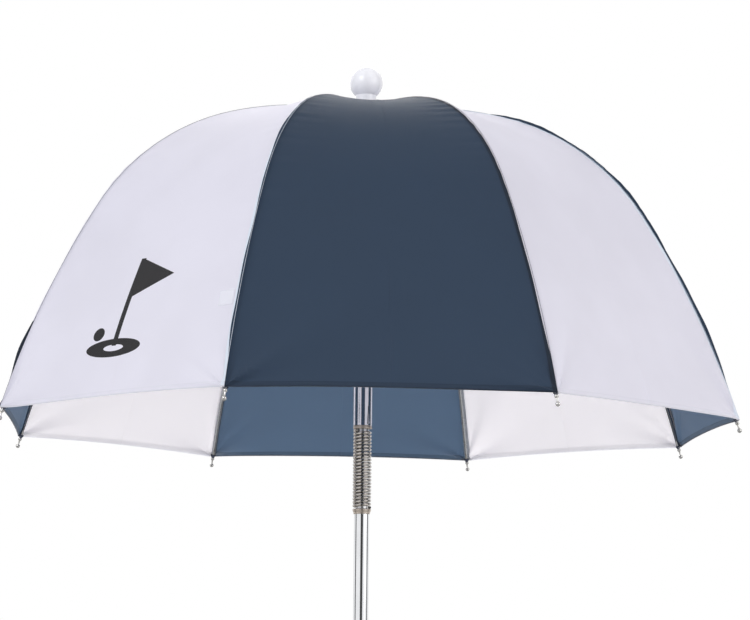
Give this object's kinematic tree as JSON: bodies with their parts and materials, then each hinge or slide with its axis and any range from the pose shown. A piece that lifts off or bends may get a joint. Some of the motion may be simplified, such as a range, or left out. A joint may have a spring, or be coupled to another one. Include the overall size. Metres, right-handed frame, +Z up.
{
  "type": "golf umbrella",
  "caption": "Deep-domed golf bag umbrella with alternating navy and white panels, folding ribs, sliding runner and a coil-spring flexible shaft.",
  "frame": {"origin": "centre of the lower shaft's foot, on its lowest face", "axes": "+Z up the shaft towards the ball finial; ribs at 22.5 degrees plus multiples of 45 from +X; -Y is the front"},
  "size_m": [0.662, 0.662, 0.9878],
  "materials": {
    "tube_chrome": "bright plated",
    "spring_steel": "plated spring wire",
    "collar_brass": "satin",
    "rib_steel": "plated strip",
    "wire_steel": "drawn wire",
    "catch_steel": "plated strip",
    "finial_plastic": "white moulded",
    "runner_plastic": "black moulded",
    "foot_plastic": "black moulded",
    "cloth_navy": "navy woven nylon",
    "cloth_white": "white woven nylon"
  },
  "bodies": {
    "lower_shaft": {"lower_shaft": "tube_chrome", "foot_plug": "foot_plastic", "lower_spring_anchor": "wire_steel", "lower_spring_collar": "collar_brass"},
    "spring": {"flex_spring": "spring_steel"},
    "upper_shaft": {"upper_shaft": "tube_chrome", "upper_spring_anchor": "wire_steel", "top_plug": "runner_plastic", "top_notch": "runner_plastic", "notch_wire": "wire_steel", "crown_washer": "finial_plastic", "ball_finial": "finial_plastic", "upper_spring_collar": "collar_brass"},
    "runner": {"runner": "runner_plastic", "runner_wire": "wire_steel"},
    "top_catch": {"top_catch": "catch_steel"},
    "bottom_catch": {"bottom_catch": "catch_steel"},
    "rib_1_inner": {"rib_1_inner": "rib_steel"},
    "rib_1_outer": {"rib_1_outer": "rib_steel"},
    "stretcher_1": {"stretcher_1": "rib_steel"},
    "panel_1_upper": {"panel_1_upper": "cloth_navy"},
    "panel_1_lower": {"panel_1_lower": "cloth_navy"},
    "rib_2_inner": {"rib_2_inner": "rib_steel"},
    "rib_2_outer": {"rib_2_outer": "rib_steel"},
    "stretcher_2": {"stretcher_2": "rib_steel"},
    "panel_2_upper": {"panel_2_upper": "cloth_white"},
    "panel_2_lower": {"panel_2_lower": "cloth_white"},
    "rib_3_inner": {"rib_3_inner": "rib_steel"},
    "rib_3_outer": {"rib_3_outer": "rib_steel"},
    "stretcher_3": {"stretcher_3": "rib_steel"},
    "panel_3_upper": {"panel_3_upper": "cloth_navy"},
    "panel_3_lower": {"panel_3_lower": "cloth_navy"},
    "rib_4_inner": {"rib_4_inner": "rib_steel"},
    "rib_4_outer": {"rib_4_outer": "rib_steel"},
    "stretcher_4": {"stretcher_4": "rib_steel"},
    "panel_4_upper": {"panel_4_upper": "cloth_white"},
    "panel_4_lower": {"panel_4_lower": "cloth_white"},
    "rib_5_inner": {"rib_5_inner": "rib_steel"},
    "rib_5_outer": {"rib_5_outer": "rib_steel"},
    "stretcher_5": {"stretcher_5": "rib_steel"},
    "panel_5_upper": {"panel_5_upper": "cloth_navy"},
    "panel_5_lower": {"panel_5_lower": "cloth_navy"},
    "rib_6_inner": {"rib_6_inner": "rib_steel"},
    "rib_6_outer": {"rib_6_outer": "rib_steel"},
    "stretcher_6": {"stretcher_6": "rib_steel"},
    "panel_6_upper": {"panel_6_upper": "cloth_white"},
    "panel_6_lower": {"panel_6_lower": "cloth_white", "closure_strap": "cloth_white"},
    "rib_7_inner": {"rib_7_inner": "rib_steel"},
    "rib_7_outer": {"rib_7_outer": "rib_steel"},
    "stretcher_7": {"stretcher_7": "rib_steel"},
    "panel_7_upper": {"panel_7_upper": "cloth_navy"},
    "panel_7_lower": {"panel_7_lower": "cloth_navy"},
    "rib_8_inner": {"rib_8_inner": "rib_steel"},
    "rib_8_outer": {"rib_8_outer": "rib_steel"},
    "stretcher_8": {"stretcher_8": "rib_steel"},
    "panel_8_upper": {"panel_8_upper": "cloth_white"},
    "panel_8_lower": {"panel_8_lower": "cloth_white"}
  },
  "joints": [
    {"name": "flex_side", "type": "hinge", "parent": "lower_shaft", "child": "spring", "pos_m": [0, 0, 0.58375], "axis": [0, 1, 0], "range_deg": [0, 45], "deforming": ["flex_spring"]},
    {"name": "flex_forward", "type": "hinge", "parent": "spring", "child": "upper_shaft", "pos_m": [0, 0, 0.62125], "axis": [1, 0, 0], "range_deg": [0, 45]},
    {"name": "top_catch_press", "type": "slide", "parent": "upper_shaft", "child": "top_catch", "axis": [-0.5736, 0.8192, 0], "range_m": [0, 0.0024]},
    {"name": "bottom_catch_press", "type": "slide", "parent": "upper_shaft", "child": "bottom_catch", "axis": [-0.5736, 0.8192, 0], "range_m": [0, 0.0024]},
    {"name": "runner_slide", "type": "slide", "parent": "upper_shaft", "child": "runner", "axis": [0, 0, 1], "range_m": [-0.18724, 0]},
    {"name": "rib_1_fold", "type": "hinge", "parent": "upper_shaft", "child": "rib_1_inner", "pos_m": [0.01155, 0.00478, 0.94257], "axis": [-0.3827, 0.9239, 0], "range_deg": [0, 71.01]},
    {"name": "rib_1_spring", "type": "hinge", "parent": "rib_1_inner", "child": "rib_1_outer", "pos_m": [0.18486, 0.07657, 0.8995], "axis": [-0.3827, 0.9239, 0], "range_deg": [-43.78, 0]},
    {"name": "stretcher_1_pivot", "type": "hinge", "parent": "rib_1_inner", "child": "stretcher_1", "pos_m": [0.12737, 0.05276, 0.92406], "axis": [-0.3827, 0.9239, 0], "range_deg": [-129.67, 0]},
    {"name": "panel_1_fold", "type": "hinge", "parent": "upper_shaft", "child": "panel_1_upper", "pos_m": [0.01155, 0, 0.94547], "axis": [0, 1, 0], "range_deg": [0, 69.67], "deforming": ["panel_1_upper"]},
    {"name": "panel_1_drape", "type": "hinge", "parent": "panel_1_upper", "child": "panel_1_lower", "pos_m": [0.18537, 0, 0.90033], "axis": [0, 1, 0], "range_deg": [-44.12, 0], "deforming": ["panel_1_lower"]},
    {"name": "rib_2_fold", "type": "hinge", "parent": "upper_shaft", "child": "rib_2_inner", "pos_m": [0.00478, 0.01155, 0.94257], "axis": [-0.9239, 0.3827, 0], "range_deg": [0, 71.01]},
    {"name": "rib_2_spring", "type": "hinge", "parent": "rib_2_inner", "child": "rib_2_outer", "pos_m": [0.07657, 0.18486, 0.8995], "axis": [-0.9239, 0.3827, 0], "range_deg": [-43.78, 0]},
    {"name": "stretcher_2_pivot", "type": "hinge", "parent": "rib_2_inner", "child": "stretcher_2", "pos_m": [0.05276, 0.12737, 0.92406], "axis": [-0.9239, 0.3827, 0], "range_deg": [-129.67, 0]},
    {"name": "panel_2_fold", "type": "hinge", "parent": "upper_shaft", "child": "panel_2_upper", "pos_m": [0.00817, 0.00817, 0.94547], "axis": [-0.7071, 0.7071, 0], "range_deg": [0, 69.67], "deforming": ["panel_2_upper"]},
    {"name": "panel_2_drape", "type": "hinge", "parent": "panel_2_upper", "child": "panel_2_lower", "pos_m": [0.13108, 0.13108, 0.90033], "axis": [-0.7071, 0.7071, 0], "range_deg": [-44.12, 0], "deforming": ["panel_2_lower"]},
    {"name": "rib_3_fold", "type": "hinge", "parent": "upper_shaft", "child": "rib_3_inner", "pos_m": [-0.00478, 0.01155, 0.94257], "axis": [-0.9239, -0.3827, 0], "range_deg": [0, 71.01]},
    {"name": "rib_3_spring", "type": "hinge", "parent": "rib_3_inner", "child": "rib_3_outer", "pos_m": [-0.07657, 0.18486, 0.8995], "axis": [-0.9239, -0.3827, 0], "range_deg": [-43.78, 0]},
    {"name": "stretcher_3_pivot", "type": "hinge", "parent": "rib_3_inner", "child": "stretcher_3", "pos_m": [-0.05276, 0.12737, 0.92406], "axis": [-0.9239, -0.3827, 0], "range_deg": [-129.67, 0]},
    {"name": "panel_3_fold", "type": "hinge", "parent": "upper_shaft", "child": "panel_3_upper", "pos_m": [0, 0.01155, 0.94547], "axis": [-1, 0, 0], "range_deg": [0, 69.67], "deforming": ["panel_3_upper"]},
    {"name": "panel_3_drape", "type": "hinge", "parent": "panel_3_upper", "child": "panel_3_lower", "pos_m": [0, 0.18537, 0.90033], "axis": [-1, 0, 0], "range_deg": [-44.12, 0], "deforming": ["panel_3_lower"]},
    {"name": "rib_4_fold", "type": "hinge", "parent": "upper_shaft", "child": "rib_4_inner", "pos_m": [-0.01155, 0.00478, 0.94257], "axis": [-0.3827, -0.9239, 0], "range_deg": [0, 71.01]},
    {"name": "rib_4_spring", "type": "hinge", "parent": "rib_4_inner", "child": "rib_4_outer", "pos_m": [-0.18486, 0.07657, 0.8995], "axis": [-0.3827, -0.9239, 0], "range_deg": [-43.78, 0]},
    {"name": "stretcher_4_pivot", "type": "hinge", "parent": "rib_4_inner", "child": "stretcher_4", "pos_m": [-0.12737, 0.05276, 0.92406], "axis": [-0.3827, -0.9239, 0], "range_deg": [-129.67, 0]},
    {"name": "panel_4_fold", "type": "hinge", "parent": "upper_shaft", "child": "panel_4_upper", "pos_m": [-0.00817, 0.00817, 0.94547], "axis": [-0.7071, -0.7071, 0], "range_deg": [0, 69.67], "deforming": ["panel_4_upper"]},
    {"name": "panel_4_drape", "type": "hinge", "parent": "panel_4_upper", "child": "panel_4_lower", "pos_m": [-0.13108, 0.13108, 0.90033], "axis": [-0.7071, -0.7071, 0], "range_deg": [-44.12, 0], "deforming": ["panel_4_lower"]},
    {"name": "rib_5_fold", "type": "hinge", "parent": "upper_shaft", "child": "rib_5_inner", "pos_m": [-0.01155, -0.00478, 0.94257], "axis": [0.3827, -0.9239, 0], "range_deg": [0, 71.01]},
    {"name": "rib_5_spring", "type": "hinge", "parent": "rib_5_inner", "child": "rib_5_outer", "pos_m": [-0.18486, -0.07657, 0.8995], "axis": [0.3827, -0.9239, 0], "range_deg": [-43.78, 0]},
    {"name": "stretcher_5_pivot", "type": "hinge", "parent": "rib_5_inner", "child": "stretcher_5", "pos_m": [-0.12737, -0.05276, 0.92406], "axis": [0.3827, -0.9239, 0], "range_deg": [-129.67, 0]},
    {"name": "panel_5_fold", "type": "hinge", "parent": "upper_shaft", "child": "panel_5_upper", "pos_m": [-0.01155, 0, 0.94547], "axis": [0, -1, 0], "range_deg": [0, 69.67], "deforming": ["panel_5_upper"]},
    {"name": "panel_5_drape", "type": "hinge", "parent": "panel_5_upper", "child": "panel_5_lower", "pos_m": [-0.18537, 0, 0.90033], "axis": [0, -1, 0], "range_deg": [-44.12, 0], "deforming": ["panel_5_lower"]},
    {"name": "rib_6_fold", "type": "hinge", "parent": "upper_shaft", "child": "rib_6_inner", "pos_m": [-0.00478, -0.01155, 0.94257], "axis": [0.9239, -0.3827, 0], "range_deg": [0, 71.01]},
    {"name": "rib_6_spring", "type": "hinge", "parent": "rib_6_inner", "child": "rib_6_outer", "pos_m": [-0.07657, -0.18486, 0.8995], "axis": [0.9239, -0.3827, 0], "range_deg": [-43.78, 0]},
    {"name": "stretcher_6_pivot", "type": "hinge", "parent": "rib_6_inner", "child": "stretcher_6", "pos_m": [-0.05276, -0.12737, 0.92406], "axis": [0.9239, -0.3827, 0], "range_deg": [-129.67, 0]},
    {"name": "panel_6_fold", "type": "hinge", "parent": "upper_shaft", "child": "panel_6_upper", "pos_m": [-0.00817, -0.00817, 0.94547], "axis": [0.7071, -0.7071, 0], "range_deg": [0, 69.67], "deforming": ["panel_6_upper"]},
    {"name": "panel_6_drape", "type": "hinge", "parent": "panel_6_upper", "child": "panel_6_lower", "pos_m": [-0.13108, -0.13108, 0.90033], "axis": [0.7071, -0.7071, 0], "range_deg": [-44.12, 0], "deforming": ["panel_6_lower", "closure_strap"]},
    {"name": "rib_7_fold", "type": "hinge", "parent": "upper_shaft", "child": "rib_7_inner", "pos_m": [0.00478, -0.01155, 0.94257], "axis": [0.9239, 0.3827, 0], "range_deg": [0, 71.01]},
    {"name": "rib_7_spring", "type": "hinge", "parent": "rib_7_inner", "child": "rib_7_outer", "pos_m": [0.07657, -0.18486, 0.8995], "axis": [0.9239, 0.3827, 0], "range_deg": [-43.78, 0]},
    {"name": "stretcher_7_pivot", "type": "hinge", "parent": "rib_7_inner", "child": "stretcher_7", "pos_m": [0.05276, -0.12737, 0.92406], "axis": [0.9239, 0.3827, 0], "range_deg": [-129.67, 0]},
    {"name": "panel_7_fold", "type": "hinge", "parent": "upper_shaft", "child": "panel_7_upper", "pos_m": [0, -0.01155, 0.94547], "axis": [1, 0, 0], "range_deg": [0, 69.67], "deforming": ["panel_7_upper"]},
    {"name": "panel_7_drape", "type": "hinge", "parent": "panel_7_upper", "child": "panel_7_lower", "pos_m": [0, -0.18537, 0.90033], "axis": [1, 0, 0], "range_deg": [-44.12, 0], "deforming": ["panel_7_lower"]},
    {"name": "rib_8_fold", "type": "hinge", "parent": "upper_shaft", "child": "rib_8_inner", "pos_m": [0.01155, -0.00478, 0.94257], "axis": [0.3827, 0.9239, 0], "range_deg": [0, 71.01]},
    {"name": "rib_8_spring", "type": "hinge", "parent": "rib_8_inner", "child": "rib_8_outer", "pos_m": [0.18486, -0.07657, 0.8995], "axis": [0.3827, 0.9239, 0], "range_deg": [-43.78, 0]},
    {"name": "stretcher_8_pivot", "type": "hinge", "parent": "rib_8_inner", "child": "stretcher_8", "pos_m": [0.12737, -0.05276, 0.92406], "axis": [0.3827, 0.9239, 0], "range_deg": [-129.67, 0]},
    {"name": "panel_8_fold", "type": "hinge", "parent": "upper_shaft", "child": "panel_8_upper", "pos_m": [0.00817, -0.00817, 0.94547], "axis": [0.7071, 0.7071, 0], "range_deg": [0, 69.67], "deforming": ["panel_8_upper"]},
    {"name": "panel_8_drape", "type": "hinge", "parent": "panel_8_upper", "child": "panel_8_lower", "pos_m": [0.13108, -0.13108, 0.90033], "axis": [0.7071, 0.7071, 0], "range_deg": [-44.12, 0], "deforming": ["panel_8_lower"]}
  ],
  "couplings": [
    {"joint": "rib_1_fold", "follows": "runner_slide", "rad_per_m": -6.6182},
    {"joint": "rib_1_spring", "follows": "runner_slide", "rad_per_m": 4.08},
    {"joint": "stretcher_1_pivot", "follows": "runner_slide", "rad_per_m": 12.086},
    {"joint": "panel_1_fold", "follows": "runner_slide", "rad_per_m": -6.4935},
    {"joint": "panel_1_drape", "follows": "runner_slide", "rad_per_m": 4.1116},
    {"joint": "rib_2_fold", "follows": "runner_slide", "rad_per_m": -6.6182},
    {"joint": "rib_2_spring", "follows": "runner_slide", "rad_per_m": 4.08},
    {"joint": "stretcher_2_pivot", "follows": "runner_slide", "rad_per_m": 12.086},
    {"joint": "panel_2_fold", "follows": "runner_slide", "rad_per_m": -6.4935},
    {"joint": "panel_2_drape", "follows": "runner_slide", "rad_per_m": 4.1116},
    {"joint": "rib_3_fold", "follows": "runner_slide", "rad_per_m": -6.6182},
    {"joint": "rib_3_spring", "follows": "runner_slide", "rad_per_m": 4.08},
    {"joint": "stretcher_3_pivot", "follows": "runner_slide", "rad_per_m": 12.086},
    {"joint": "panel_3_fold", "follows": "runner_slide", "rad_per_m": -6.4935},
    {"joint": "panel_3_drape", "follows": "runner_slide", "rad_per_m": 4.1116},
    {"joint": "rib_4_fold", "follows": "runner_slide", "rad_per_m": -6.6182},
    {"joint": "rib_4_spring", "follows": "runner_slide", "rad_per_m": 4.08},
    {"joint": "stretcher_4_pivot", "follows": "runner_slide", "rad_per_m": 12.086},
    {"joint": "panel_4_fold", "follows": "runner_slide", "rad_per_m": -6.4935},
    {"joint": "panel_4_drape", "follows": "runner_slide", "rad_per_m": 4.1116},
    {"joint": "rib_5_fold", "follows": "runner_slide", "rad_per_m": -6.6182},
    {"joint": "rib_5_spring", "follows": "runner_slide", "rad_per_m": 4.08},
    {"joint": "stretcher_5_pivot", "follows": "runner_slide", "rad_per_m": 12.086},
    {"joint": "panel_5_fold", "follows": "runner_slide", "rad_per_m": -6.4935},
    {"joint": "panel_5_drape", "follows": "runner_slide", "rad_per_m": 4.1116},
    {"joint": "rib_6_fold", "follows": "runner_slide", "rad_per_m": -6.6182},
    {"joint": "rib_6_spring", "follows": "runner_slide", "rad_per_m": 4.08},
    {"joint": "stretcher_6_pivot", "follows": "runner_slide", "rad_per_m": 12.086},
    {"joint": "panel_6_fold", "follows": "runner_slide", "rad_per_m": -6.4935},
    {"joint": "panel_6_drape", "follows": "runner_slide", "rad_per_m": 4.1116},
    {"joint": "rib_7_fold", "follows": "runner_slide", "rad_per_m": -6.6182},
    {"joint": "rib_7_spring", "follows": "runner_slide", "rad_per_m": 4.08},
    {"joint": "stretcher_7_pivot", "follows": "runner_slide", "rad_per_m": 12.086},
    {"joint": "panel_7_fold", "follows": "runner_slide", "rad_per_m": -6.4935},
    {"joint": "panel_7_drape", "follows": "runner_slide", "rad_per_m": 4.1116},
    {"joint": "rib_8_fold", "follows": "runner_slide", "rad_per_m": -6.6182},
    {"joint": "rib_8_spring", "follows": "runner_slide", "rad_per_m": 4.08},
    {"joint": "stretcher_8_pivot", "follows": "runner_slide", "rad_per_m": 12.086},
    {"joint": "panel_8_fold", "follows": "runner_slide", "rad_per_m": -6.4935},
    {"joint": "panel_8_drape", "follows": "runner_slide", "rad_per_m": 4.1116}
  ]
}
